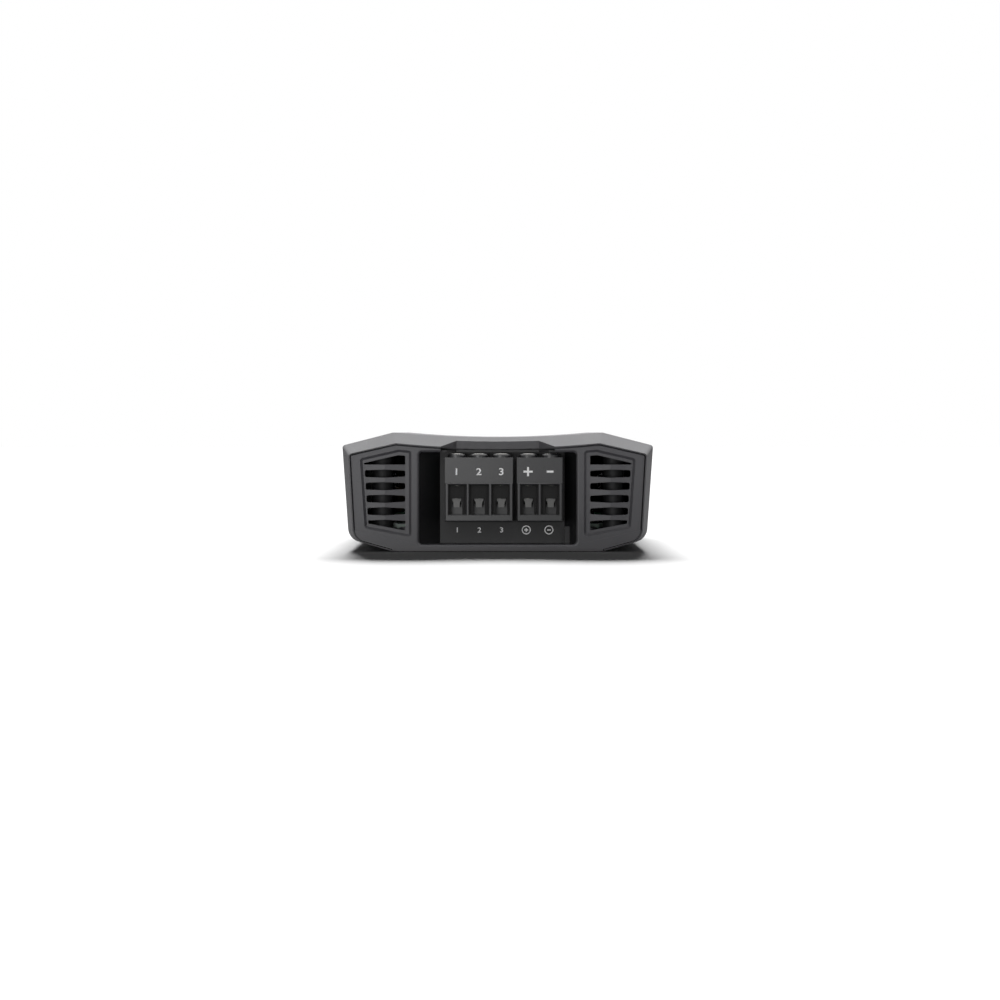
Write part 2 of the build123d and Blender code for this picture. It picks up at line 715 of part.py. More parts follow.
        with BuildPart() as foot:
            with BuildSketch(Plane.XZ.offset(-y - foot_thickness / 2)) as wedge:
                with BuildLine():
                    profile = [
                        (foot_top_half, tip), (foot_top_half, tip - foot_flange),
                        (foot_neck_half, tip - foot_flange - foot_taper), (foot_tip_half, tip - foot_height),
                    ]
                    Polyline(*[(x + reach, z) for reach, z in profile],
                             *[(x - reach, z) for reach, z in reversed(profile)], close=True)
                make_face()
            extrude(amount=foot_thickness)
            for groove in range(foot_grooves):
                z = tip - foot_height + foot_groove_start + groove * foot_groove_pitch
                box((x - foot_top_half, y - foot_thickness / 2, z),
                    (x + foot_top_half, y - foot_thickness / 2 + foot_groove, z + foot_groove_width), Mode.SUBTRACT)
            upright(x, y, tip - screw_pin_length - 0.1, tip, screw_pin_radius + thread_gap, Mode.SUBTRACT)
        save(foot, f"{plug.name}_foot_{number}")

# ---------------------------------------------------------------- main board
transistor_x = heat_pad_x - heat_sheet - transistor_thickness
column_clear = 1.5
corner_x = column_x - column_radius - column_clear
corner_y = rear(column_setback + column_radius + column_clear)
corner_cut = 20.0
with BuildPart() as main_board:
    with BuildSketch(Plane.XY.offset(board_top - board_thickness)) as board_plan:
        Rectangle(2 * board_half, case_length - 2 * board_setback)
        # clipped corners, clear of the mounting columns
        with GridLocations(2 * (corner_x + corner_cut), 2 * (corner_y + corner_cut), 2, 2):
            Rectangle(2 * corner_cut, 2 * corner_cut, mode=Mode.SUBTRACT)
    extrude(amount=board_thickness)
    for x, y in hangers:
        upright(x, y, 0, board_top + 1, small_screw_radius + 2 * screw_gap, Mode.SUBTRACT)
    for plug in plugs:
        for x in pole_places(plug):
            box((x - pin_width / 2, front(header_back + 1), 0),
                (x + pin_width / 2, front(header_back + 2), board_top + 1), Mode.SUBTRACT)
save(main_board, "main_board")

with BuildPart() as board_screws:
    underside = board_top - board_thickness
    for x, y in hangers:
        upright(x, y, underside - 1.6, underside, small_head_radius)
        upright(x, y, underside, board_top + 6, small_screw_radius)
    for x, y in hangers:
        box((x - small_head_radius, y - drive_width / 2, underside - 2),
            (x + small_head_radius, y + drive_width / 2, underside - 0.9), Mode.SUBTRACT)
save(board_screws, "board_screws")

# ---------------------------------------------------------------- control end
pot_gap = 1.5                # bay's panel to the controls on the board behind it
pot_length = 6.6
control_half = 21.0
control_height = 22.0
rca_x = 14.5
rca_places = {"lower": 13.8, "upper": 26.6}
rca_half = 5.6
rca_radius = 4.15
rca_length = 8.0             # barrels in front of the bay's panel
rca_wall = 0.6
rca_bore = 1.65
knob_places = {"boost": 4.0, "filter": -4.5, "gain": -13.0}
knob_rise = 5.0              # axis above the modular socket
knob_radius = 3.4
knob_length = 5.2
knob_gap = 0.4
shaft_radius = 1.5
shaft_length = 7.0
pot_half = (4.0, 4.5)
switch_x = 0.8
switch_z = 13.4
switch_half = (4.0, 2.5)
switch_travel = 3.0
button_half = 1.0
button_length = 2.6          # button in front of the panel
jack_x = -12.5
jack_half = 6.5
jack_height = 11.0
jack_length = 0.3            # socket in front of the panel
light_x = 7.1
light_z = 13.4
light_radius = 1.5
light_length = 0.8
bore_gap = 0.08

pot_setback = bay_back_depth + pot_gap
control_back = pot_setback + pot_length
control_high = board_top + control_height
rca_setback = bay_panel_depth - rca_length
knob_back = bay_panel_depth - knob_gap
knob_setback = knob_back - knob_length
shaft_end = knob_back + shaft_length
button_setback = bay_panel_depth - button_length
jack_setback = bay_panel_depth - jack_length
jack_top = board_top + jack_height
knob_z = jack_top + knob_rise

with BuildPart() as rear_bay:
    bay_shell(rear_bay_half, rear_bay_half, rear_bay_top)
    mirror(about=Plane.XZ, mode=Mode.REPLACE)
    panel_back, panel_front = rear(bay_back_depth + 1), rear(bay_panel_depth - 1)
    for z in rca_places.values():
        lengthwise(rca_x, z, panel_back, panel_front, rca_radius + bore_gap, Mode.SUBTRACT)
    for x in knob_places.values():
        lengthwise(x, knob_z, panel_back, panel_front, shaft_radius + 0.3, Mode.SUBTRACT)
    lengthwise(light_x, light_z, panel_back, panel_front, light_radius + bore_gap, Mode.SUBTRACT)
    slot_half = button_half + switch_travel / 2 + 0.25
    box((switch_x - slot_half, panel_back, switch_z - button_half - 0.25),
        (switch_x + slot_half, panel_front, switch_z + button_half + 0.25), Mode.SUBTRACT)
    box((jack_x - jack_half - bore_gap, panel_back, board_top - bore_gap),
        (jack_x + jack_half + bore_gap, panel_front, jack_top + bore_gap), Mode.SUBTRACT)
save(rear_bay, "rear_bay")

with BuildPart() as control_board:
    box((-control_half, rear(control_back + board_thickness), board_top),
        (control_half, rear(control_back), control_high))
save(control_board, "control_board")

with BuildPart() as link_header:
    y = rear(control_back + board_thickness)
    box((-14, y - 2.5, board_top), (14, y, board_top + 2.5))
    with Locations(*[(x, y - 4, board_top + 1.25) for x in range(-12, 13, 3)]):
        Box(0.6, 4.0, 0.6)
save(link_header, "link_header")

with BuildPart() as rca_body:
    box((rca_x - rca_half, rear(control_back), board_top),
        (rca_x + rca_half, rear(bay_back_depth + fit_gap), control_high + 1))
save(rca_body, "rca_body")

barrel_back = bay_back_depth + fit_gap
with BuildPart() as rca_barrels:
    for z in rca_places.values():
        lengthwise(rca_x, z, rear(barrel_back), rear(rca_setback), rca_radius)
        lengthwise(rca_x, z, rear(bay_panel_depth), rear(bay_panel_depth - 0.8), rca_radius + 1.1)
    chamfer(rca_barrels.edges().filter_by(GeomType.CIRCLE).group_by(Axis.Y)[-1], 0.2)
    for z in rca_places.values():
        lengthwise(rca_x, z, rear(barrel_back), rear(rca_setback) + 1, rca_radius - rca_wall, Mode.SUBTRACT)
save(rca_barrels, "rca_barrels")

for name, z in rca_places.items():
    with BuildPart() as insulator:
        lengthwise(rca_x, z, rear(barrel_back), rear(rca_setback + 0.5), rca_radius - rca_wall)
        lengthwise(rca_x, z, rear(barrel_back - 2), rear(0), rca_bore, Mode.SUBTRACT)
    save(insulator, f"rca_insulator_{name}")

for name, x in knob_places.items():
    with BuildPart() as knob:
        lengthwise(x, knob_z, rear(knob_back), rear(knob_setback), knob_radius)
        chamfer(knob.edges().group_by(Axis.Y)[-1], 0.4)
        with Locations(Location((x, rear(knob_back), knob_z), (-90, 0, 0))):
            with PolarLocations(knob_radius + 0.15, 16):
                Cylinder(0.4, 2 * (knob_back - knob_setback), mode=Mode.SUBTRACT)
        box((x - 0.35, rear(knob_setback + 0.5), knob_z), (x + 0.35, rear(0), knob_z + knob_radius + 1),
            Mode.SUBTRACT)
        lengthwise(x, knob_z, rear(shaft_end), rear(knob_back), shaft_radius)
    save(knob, f"{name}_knob")

with BuildPart() as control_pots:
    for x in knob_places.values():
        box((x - pot_half[0], rear(control_back), knob_z - pot_half[1]),
            (x + pot_half[0], rear(pot_setback), knob_z + pot_half[1]))
    for x in knob_places.values():
        lengthwise(x, knob_z, rear(shaft_end + 0.3), rear(0), shaft_radius + bore_gap, Mode.SUBTRACT)
save(control_pots, "control_pots")

button_reach = button_half + switch_travel / 2 + 0.1
with BuildPart() as mode_switch:
    box((switch_x - switch_half[0], rear(control_back), switch_z - switch_half[1]),
        (switch_x + switch_half[0], rear(pot_setback), switch_z + switch_half[1]))
    box((switch_x - button_reach, rear(pot_setback + 2.6), switch_z - button_half - bore_gap),
        (switch_x + button_reach, rear(0), switch_z + button_half + bore_gap), Mode.SUBTRACT)
save(mode_switch, "mode_switch")

with BuildPart() as mode_switch_button:
    rest_x = switch_x - switch_travel / 2
    box((rest_x - button_half, rear(pot_setback + 2.5), switch_z - button_half),
        (rest_x + button_half, rear(button_setback), switch_z + button_half))
    chamfer(mode_switch_button.faces().sort_by(Axis.Y)[-1].edges(), 0.25)
save(mode_switch_button, "mode_switch_button")

with BuildPart() as remote_jack:
    box((jack_x - jack_half, rear(control_back), board_top),
        (jack_x + jack_half, rear(jack_setback), jack_top))
    box((jack_x - 5.0, rear(control_back - 1.2), board_top + 3.2), (jack_x + 5.0, rear(0), jack_top - 1.4),
        Mode.SUBTRACT)
    box((jack_x - 2.2, rear(control_back - 4.0), board_top + 1.2), (jack_x + 2.2, rear(0), board_top + 4.0),
        Mode.SUBTRACT)
save(remote_jack, "remote_jack")

with BuildPart() as status_light:
    lengthwise(light_x, light_z, rear(control_back), rear(bay_panel_depth - light_length), light_radius)
    fillet(status_light.edges().group_by(Axis.Y)[-1], 0.7)
save(status_light, "status_light")

# ---------------------------------------------------------------- on the main board
capacitor_places = [(-16, front(46)), (2, front(46)), (20, front(46)), (17, front(70)), (17, front(90))]
with BuildPart() as capacitors:
    with BuildSketch(Plane.XY.offset(board_top)):
        with Locations(*capacitor_places):
            Circle(8.0)
    extrude(amount=22.0)
    fillet(capacitors.edges().filter_by(GeomType.CIRCLE), 0.8)
save(capacitors, "electrolytic_capacitors")

with BuildPart() as film_capacitors:
    with BuildSketch(Plane.XY.offset(board_top)):
        with Locations((-30, rear(50)), (-21, rear(50)), (-12, rear(50))):
            Rectangle(6.0, 17.0)
    extrude(amount=13.0)
    fillet(film_capacitors.edges().filter_by(Axis.Z), 0.8)
save(film_capacitors, "film_capacitors")


def ring(x, y, low, high, inner, outer):
    """A flat ring on the board."""
    with BuildSketch(Plane.XY.offset(low)) as circle:
        with Locations((x, y)):
            Circle(outer)
            Circle(inner, mode=Mode.SUBTRACT)
    extrude(circle.sketch, amount=high - low)


winding_wall = 1.2
rings = {
    "input_choke": (-18.0, front(72), 6.0, 10.0, 9.0),
    "transformer": (-14.0, 10.0, 8.0, 15.0, 13.0),
}
for name, (x, y, inner, outer, height) in rings.items():
    low = board_top + winding_wall
    with BuildPart() as core:
        ring(x, y, low, low + height, inner, outer)
        chamfer(core.edges(), 0.6)
    save(core, f"{name}_core")
    with BuildPart() as winding:
        ring(x, y, board_top, low + height + winding_wall, inner - winding_wall, outer + winding_wall)
        chamfer(winding.edges(), 1.0)
        add(core.part, mode=Mode.SUBTRACT)
    save(winding, f"{name}_winding")

output_x, output_y, output_half, output_height = 12.0, rear(50), 12.0, 20.0
coil_half, bobbin_half = 9.0, 4.5
with BuildPart() as output_core:
    box((output_x - output_half, output_y - output_half, board_top),
        (output_x + output_half, output_y + output_half, board_top + output_height))
    box((output_x - coil_half, output_y - output_half, board_top + 3),
        (output_x + coil_half, output_y + output_half, board_top + output_height - 3), Mode.SUBTRACT)
    upright(output_x, output_y, board_top, board_top + output_height, bobbin_half)
save(output_core, "output_choke_core")

with BuildPart() as output_winding:
    upright(output_x, output_y, board_top + 3, board_top + output_height - 3, coil_half - 0.5)
    upright(output_x, output_y, board_top, board_top + output_height, bobbin_half, Mode.SUBTRACT)
save(output_winding, "output_choke_winding")

link_chip_y = rear(control_back + board_thickness + 10.4)    # behind the header between the boards
with BuildPart() as board_chips:
    with BuildSketch(Plane.XY.offset(board_top)):
        with Locations((33, rear(44)), (33, rear(58)), (-2, link_chip_y), (33, front(62))):
            Rectangle(8.0, 6.0)
        with Locations((-30, 24), (-30, -4), (33, 8), (31, front(84))):
            Rectangle(5.0, 4.0)
    extrude(amount=1.6)
    chamfer(board_chips.faces().group_by(Axis.Z)[-1].edges(), 0.2)
save(board_chips, "board_chips")

# ---------------------------------------------------------------- power transistors on the case's pads
transistor_half = 5.0
transistor_low = 13.5
transistor_high = 28.5
leg_inset = 2.2


def both_sides(near_x, far_x, y_span, z_span, mode=Mode.ADD):
    """The same box on the left and the right, given by its distances from the middle."""
    box((near_x, y_span[0], z_span[0]), (far_x, y_span[1], z_span[1]), mode)
    box((-far_x, y_span[0], z_span[0]), (-near_x, y_span[1], z_span[1]), mode)


with BuildPart() as transistors:
    for y in transistor_rows:
        both_sides(transistor_x, transistor_x + transistor_thickness,
                   (y - transistor_half, y + transistor_half), (transistor_low, transistor_high))
        for leg in (-2.54, 0, 2.54):
            both_sides(transistor_x + leg_inset, transistor_x + leg_inset + 0.6,
                       (y + leg - 0.4, y + leg + 0.4), (board_top, transistor_low))
save(transistors, "power_transistors")

with BuildPart() as heat_sheets:
    both_sides(heat_pad_x - heat_sheet, heat_pad_x, (-heat_pad_half, heat_pad_half),
               (heat_pad_low + 0.5, heat_pad_high))
    for y in clamp_screw_rows:
        sideways(y, clamp_screw_z, -half_width, half_width, small_screw_radius + screw_gap, Mode.SUBTRACT)
save(heat_sheets, "heat_sheets")

clamp_x = transistor_x - clamp_thickness
with BuildPart() as clamp_bars:
    both_sides(clamp_x, transistor_x, (-heat_pad_half + 2, heat_pad_half - 2),
               (clamp_screw_z - 3, clamp_screw_z + 3))
    for y in clamp_screw_rows:
        sideways(y, clamp_screw_z, -half_width, half_width, small_screw_radius + screw_gap, Mode.SUBTRACT)
save(clamp_bars, "clamp_bars")

with BuildPart() as clamp_screws:
    for y in clamp_screw_rows:
        for inner, outer, radius in ((clamp_x, heat_pad_x + 4, small_screw_radius),
                                     (clamp_x - 1.6, clamp_x, small_head_radius)):
            sideways(y, clamp_screw_z, inner, outer, radius)
            sideways(y, clamp_screw_z, -outer, -inner, radius)
save(clamp_screws, "clamp_screws")
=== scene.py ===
# %% [markdown]
# A compact car amplifier: a cast aluminium case with a moulded grille cap at each end, two pull-off
# screw terminal plugs at the front and signal sockets with trimmers at the back. The frame holds the
# exact shapes. This file gives them their finishes, adds the printed marks, the wound coils and the
# fine metal parts, and sets up the light and the camera.

# %% Load the frame
import json
import math

import bmesh
import bpy
from mathutils import Matrix, Vector


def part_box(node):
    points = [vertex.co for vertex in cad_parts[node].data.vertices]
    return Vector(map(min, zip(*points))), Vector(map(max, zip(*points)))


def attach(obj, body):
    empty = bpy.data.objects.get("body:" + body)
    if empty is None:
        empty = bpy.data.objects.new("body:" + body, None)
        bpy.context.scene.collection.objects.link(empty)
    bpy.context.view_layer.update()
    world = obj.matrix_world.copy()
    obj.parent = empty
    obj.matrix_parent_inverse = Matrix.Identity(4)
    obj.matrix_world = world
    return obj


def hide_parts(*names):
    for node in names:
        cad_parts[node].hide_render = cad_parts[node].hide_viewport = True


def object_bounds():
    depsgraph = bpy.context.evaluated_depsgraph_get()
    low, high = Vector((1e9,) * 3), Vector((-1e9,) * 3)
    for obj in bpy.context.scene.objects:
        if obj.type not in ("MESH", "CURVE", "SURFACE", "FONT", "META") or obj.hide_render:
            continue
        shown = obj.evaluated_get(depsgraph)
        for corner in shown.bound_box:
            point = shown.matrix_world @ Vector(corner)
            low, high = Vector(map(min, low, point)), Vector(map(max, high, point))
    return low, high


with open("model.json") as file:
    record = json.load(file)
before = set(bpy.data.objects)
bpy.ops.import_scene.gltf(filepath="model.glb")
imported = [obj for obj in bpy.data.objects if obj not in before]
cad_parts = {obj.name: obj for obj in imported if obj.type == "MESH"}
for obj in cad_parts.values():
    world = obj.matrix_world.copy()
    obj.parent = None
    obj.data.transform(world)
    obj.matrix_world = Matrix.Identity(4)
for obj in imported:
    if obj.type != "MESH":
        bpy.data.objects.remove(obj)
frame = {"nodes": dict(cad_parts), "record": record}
cad_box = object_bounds()
nodes = frame["nodes"]
MM = 0.001

# %% [markdown]
# Most finishes here are one recipe with different numbers: a shader whose colour and roughness drift
# a little over the surface, and a fine bump for the grain of the paint or the spark-eroded mould. The
# pattern reads Object coordinates, so it has a real size in metres and stays put when a piece moves.

# %% A helper for finishes
finishes = {}


def finish(name, color, roughness, metallic=0.0, grain=0.25 * MM, relief=0.1, drift=0.06, coat=0.0,
           specular=0.5):
    """A satin surface: grain is the size of its texture and relief how deep that looks."""
    made = bpy.data.materials.new(name)
    made.use_nodes = True
    tree = made.node_tree
    shader = tree.nodes["Principled BSDF"]
    shader.inputs["Metallic"].default_value = metallic
    shader.inputs["Coat Weight"].default_value = coat
    shader.inputs["Specular IOR Level"].default_value = specular
    place = tree.nodes.new("ShaderNodeTexCoord")
    cloud = tree.nodes.new("ShaderNodeTexNoise")
    cloud.inputs["Scale"].default_value = 60.0
    cloud.inputs["Detail"].default_value = 3.0
    tree.links.new(place.outputs["Object"], cloud.inputs["Vector"])
    ramp = tree.nodes.new("ShaderNodeValToRGB")
    ramp.color_ramp.elements[0].position = 0.3
    ramp.color_ramp.elements[1].position = 0.7
    ramp.color_ramp.elements[0].color = [channel * (1 - drift) for channel in color] + [1]
    ramp.color_ramp.elements[1].color = [channel * (1 + drift) for channel in color] + [1]
    tree.links.new(cloud.outputs["Fac"], ramp.inputs["Fac"])
    tree.links.new(ramp.outputs["Color"], shader.inputs["Base Color"])
    spread = tree.nodes.new("ShaderNodeMapRange")
    spread.inputs["To Min"].default_value = roughness - 0.04
    spread.inputs["To Max"].default_value = roughness + 0.04
    tree.links.new(cloud.outputs["Fac"], spread.inputs["Value"])
    tree.links.new(spread.outputs["Result"], shader.inputs["Roughness"])
    speckle = tree.nodes.new("ShaderNodeTexNoise")
    speckle.inputs["Scale"].default_value = 1 / grain
    speckle.inputs["Detail"].default_value = 2.0
    tree.links.new(place.outputs["Object"], speckle.inputs["Vector"])
    bump = tree.nodes.new("ShaderNodeBump")
    bump.inputs["Strength"].default_value = relief
    bump.inputs["Distance"].default_value = grain * 0.3
    tree.links.new(speckle.outputs["Fac"], bump.inputs["Height"])
    tree.links.new(bump.outputs["Normal"], shader.inputs["Normal"])
    finishes[name] = made
    return made


# %% Finishes by slot
finish("case_paint", (0.075, 0.074, 0.080), 0.42, specular=0.30, grain=0.22 * MM, relief=0.25)
finish("trim_plastic", (0.045, 0.045, 0.048), 0.40, relief=0.1)
finish("cap_plastic", (0.056, 0.055, 0.061), 0.45, grain=0.15 * MM, relief=0.2)
finish("bay_plastic", (0.010, 0.010, 0.011), 0.5, grain=0.2 * MM, relief=0.2, specular=0.4)
finish("cover_paint", (0.025, 0.025, 0.027), 0.5, grain=0.3 * MM, relief=0.35)
finish("sheet_plastic", (0.45, 0.45, 0.42), 0.4)
finish("black_steel", (0.03, 0.03, 0.032), 0.35, metallic=0.8)
finish("plug_plastic", (0.020, 0.020, 0.022), 0.34, grain=0.12 * MM, relief=0.15)
finish("terminal_steel", (0.62, 0.61, 0.58), 0.28, metallic=1.0, grain=0.08 * MM, relief=0.1)
# foot_steel is the terminal steel made darker and duller: painted shade for the feet deep inside the
# wire entries
finish("foot_steel", (0.11, 0.11, 0.108), 0.45, metallic=0.4, grain=0.08 * MM, relief=0.1)
# contact_metal is near black and matte; it also paints the shade inside the plugs' wire entries
finish("contact_metal", (0.010, 0.010, 0.010), 0.6, specular=0.2)
finish("raw_casting", (0.045, 0.045, 0.047), 0.6, metallic=0.4, grain=0.3 * MM, relief=0.2)
finish("pin_metal", (0.80, 0.74, 0.55), 0.3, metallic=1.0)
finish("board_laminate", (0.012, 0.06, 0.03), 0.35, coat=0.3)
finish("component_plastic", (0.018, 0.018, 0.019), 0.45, grain=0.1 * MM, relief=0.2)
finish("barrel_metal", (0.75, 0.74, 0.72), 0.18, metallic=1.0, grain=0.1 * MM, relief=0.03)
finish("red_plastic", (0.50, 0.015, 0.012), 0.3, relief=0.03)
finish("white_plastic", (0.80, 0.80, 0.77), 0.35, relief=0.03)
finish("white_ink", (0.95, 0.95, 0.95), 0.6, drift=0.0, relief=0.0)
finish("knob_plastic", (0.022, 0.022, 0.023), 0.4, grain=0.1 * MM, relief=0.15)
finish("can_sleeve", (0.012, 0.014, 0.03), 0.25, coat=0.2)
finish("film_box", (0.50, 0.26, 0.04), 0.3)
finish("ferrite", (0.03, 0.05, 0.045), 0.5)
finish("copper_wire", (0.55, 0.18, 0.05), 0.25, metallic=0.9)
finish("clamp_steel", (0.5, 0.5, 0.48), 0.35, metallic=1.0)
finish("lens", (0.50, 0.65, 0.85), 0.15, coat=0.5)
for part in frame["record"]["subparts"]:
    slots = nodes[part["node"]].material_slots
    slots[0].material = finishes[part["material_slot"]]
print("finishes:", len(finishes))

# %% [markdown]
# The paint covers the outside of the case, and its inside takes a darker, dull casting finish, partly
# the bare metal and partly painted shade for the dark seen through the grille slots. One mesh can
# carry several materials: each face holds the number of a slot. A face belongs to the inside if it
# looks towards the middle of the case, or lies well within the walls, as the mounting columns do.

# %% Darker casting inside the case, painted shade behind the grille
case = nodes["case"]
# the darker raw_casting finish inside is painted shade for what shows through the grille slots
case.data.materials.append(finishes["raw_casting"])
mid_height = (cad_box[0].z + cad_box[1].z) / 2
inside_half = 46 * MM            # everything nearer the middle than this lies within the side walls
inside_low, inside_high = 2 * MM, 34.6 * MM
notch_half, notch_reach = 21 * MM, 10 * MM      # the walls of the notch over the plugs stay painted
for face in case.data.polygons:
    place = face.center
    outward = Vector((place.x, 0, place.z - mid_height))
    deep = abs(place.x) < inside_half or outward.dot(face.normal) < 0
    in_notch = abs(place.x) < notch_half and place.y < cad_box[0].y + notch_reach
    if inside_low < place.z < inside_high and deep and not in_notch:
        face.material_index = len(case.data.materials) - 1
print("bare faces in the case:", sum(face.material_index > 0 for face in case.data.polygons))

# %% [markdown]
# The wire entries of the plugs get painted shade: the faces just behind the front of the plug,
# between the floor and the roof of the entries, take a second, near-black material that paints the
# shadow inside them.

# %% Painted shade in the wire entries
entry_front = cad_box[0].y + 0.9 * MM
entry_reach = 4 * MM
entry_low, entry_high = 12 * MM, 22.9 * MM
for name in ("power_plug", "speaker_plug"):
    plug = nodes[name]
    # the near-black contact_metal here is painted shade, not the plug's own colour
    plug.data.materials.append(finishes["contact_metal"])
    for face in plug.data.polygons:
        at_front = entry_front < face.center.y < entry_front + entry_reach
        if at_front and entry_low < face.center.z < entry_high:
            face.material_index = len(plug.data.materials) - 1
    print(name, "dark faces:", sum(face.material_index > 0 for face in plug.data.polygons))

# %% [markdown]
# The printed marks are thin meshes laid on the plastic. A text object is turned into a mesh, since
# the numbers never change, and its offset thickens the strokes to a bold weight. The clamp's label
# and the mark under it say the same: the three poles of the power plug are numbered, and the two of
# the speaker plug have signs. Marks on a plug ride on that plug, so they come away with it.

# %% Helpers for printed marks
CAP_SHARE = 0.70             # cap height of the built-in letters over their size
PRINT_HEIGHT = 0.02 * MM     # a mark stands this far off its surface
RING_STEPS = 48


def add_piece(name, mesh, body, slot, material=None):
    """Puts a mesh in the scene as a piece that rides on a body."""
    piece = bpy.data.objects.new(name, mesh)
    bpy.context.scene.collection.objects.link(piece)
    mesh.materials.append(material or finishes[slot])
    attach(piece, body)
    return piece


def words_mesh(words, height, weight=0.0, widen=1.0):
    """Upright characters of this height, centred on the origin, drawn in X and Y."""
    letters = bpy.data.curves.new(words, "FONT")
    letters.body = words
    letters.align_x = "CENTER"
    letters.align_y = "CENTER"
    letters.size = height / CAP_SHARE
    letters.offset = weight
    letters.space_character = 1.05
    holder = bpy.data.objects.new(words, letters)
    bpy.context.scene.collection.objects.link(holder)
    mesh = bpy.data.meshes.new_from_object(holder)
    bpy.data.objects.remove(holder)
    mesh.materials.clear()
    places = [[vertex.co[axis] for vertex in mesh.vertices] for axis in (0, 1)]
    middle_x, middle_y = ((min(values) + max(values)) / 2 for values in places)
    mesh.transform(Matrix.Diagonal((widen, 1, 1, 1)) @ Matrix.Translation((-middle_x, -middle_y, 0)))
    return mesh


def sign_mesh(name, size, stroke, plus=False, ring=None):
    """A flat minus or plus sign, with a ring (inner, outer) round it if one is given."""
    # a plus is a minus with two short uprights, so that no two faces lie in the same place
    bars = [(0, 0, size, stroke)]
    if plus:
        arm = (size - stroke) / 2
        bars += [(0, side * (stroke + arm) / 2, stroke, arm) for side in (-1, 1)]
    shape = bmesh.new()
    for x, y, width, height in bars:
        spread = Matrix.Translation((x, y, 0)) @ Matrix.Diagonal((width, height, 1, 1))
        bmesh.ops.create_grid(shape, x_segments=1, y_segments=1, size=0.5, matrix=spread)
    if ring:
        turns = [math.tau * k / RING_STEPS for k in range(RING_STEPS)]
        rims = [[shape.verts.new((r * math.cos(turn), r * math.sin(turn), 0)) for turn in turns]
                for r in ring]
        for k in range(RING_STEPS):
            shape.faces.new((rims[0][k - 1], rims[1][k - 1], rims[1][k], rims[0][k]))
    mesh = bpy.data.meshes.new(name)
    shape.to_mesh(mesh)
    shape.free()
    return mesh


def print_on_front(name, mesh, x, z, surface_y, body):
    """Stands a flat mark up against a surface that faces the plug end."""
    stand = (Matrix.Translation((x, surface_y - PRINT_HEIGHT, z))
             @ Matrix.Rotation(math.radians(90), 4, "X"))
    mesh.transform(stand)
    add_piece(name, mesh, body, "white_plastic", finishes["white_ink"])


def print_on_rear(name, mesh, x, z, surface_y, body):
    """The same for a surface that faces the control end."""
    stand = (Matrix.Translation((x, surface_y + PRINT_HEIGHT, z)) @ Matrix.Rotation(math.pi, 4, "Z")
             @ Matrix.Rotation(math.radians(90), 4, "X"))
    mesh.transform(stand)
    add_piece(name, mesh, body, "white_plastic", finishes["white_ink"])


# %% Marks on the plugs and under them
label_y = cad_box[0].y + 1.5 * MM
panel_y = cad_box[0].y + 12.4 * MM
label_z = 27.2 * MM
panel_mark_z = 7.0 * MM
for number, x in ((1, -14.0), (2, -6.4), (3, 1.2)):
    mesh = words_mesh(str(number), 2.3 * MM, weight=0.045 * MM, widen=1.2)
    print_on_front(f"label_pole_{number}", mesh, x * MM, label_z, label_y, "power_plug_body")
for name, x, size, plus in (("positive", 10.3, 3.1, True), ("negative", 17.8, 2.3, False)):
    mesh = sign_mesh(f"sign_{name}", size * MM, 0.66 * MM, plus)
    print_on_front(f"label_{name}", mesh, x * MM, label_z, label_y, "speaker_plug_body")
for number, x in ((1, -13.9), (2, -6.3), (3, 1.3)):
    mesh = words_mesh(str(number), 1.7 * MM, weight=0.03 * MM, widen=1.1)
    print_on_front(f"panel_pole_{number}", mesh, x * MM, panel_mark_z, panel_y, "chassis")
for name, x, plus in (("positive", 9.8, True), ("negative", 17.6, False)):
    mesh = sign_mesh(f"ringed_{name}", 1.3 * MM, 0.45 * MM, plus, ring=(1.22 * MM, 1.55 * MM))
    print_on_front(f"panel_{name}", mesh, x * MM, panel_mark_z, panel_y, "chassis")

# %% [markdown]
# Each trimmer has a scale of ticks on the panel behind it, over the 280 degrees that it turns.

# %% Scales round the trimmers
rear_panel_y = cad_box[1].y - 12.4 * MM
tick_count = 11
tick_radius = 4.6 * MM
tick_width = 0.22 * MM
half_turn = 140.0            # degrees from the middle to each end
for name in ("boost", "filter", "gain"):
    low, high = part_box(f"{name}_knob")
    shape = bmesh.new()
    for k in range(tick_count):
        turn = Matrix.Rotation(math.radians(half_turn * (2 * k / (tick_count - 1) - 1)), 4, "Z")
        length = (1.1 if k in (0, tick_count - 1) else 0.7) * MM
        place = Matrix.Translation((0, tick_radius, 0)) @ Matrix.Diagonal((tick_width, length, 1, 1))
        bmesh.ops.create_grid(shape, x_segments=1, y_segments=1, size=0.5, matrix=turn @ place)
    mesh = bpy.data.meshes.new(f"{name}_scale")
    shape.to_mesh(mesh)
    shape.free()
    middle = (low + high) / 2
    print_on_rear(f"{name}_scale", mesh, middle.x, middle.z, rear_panel_y, "chassis")

# %% [markdown]
# A wire is a small polygon swept along a path. At each point the polygon lies across the path, and
# a reference direction that never runs along the path keeps it from twisting.

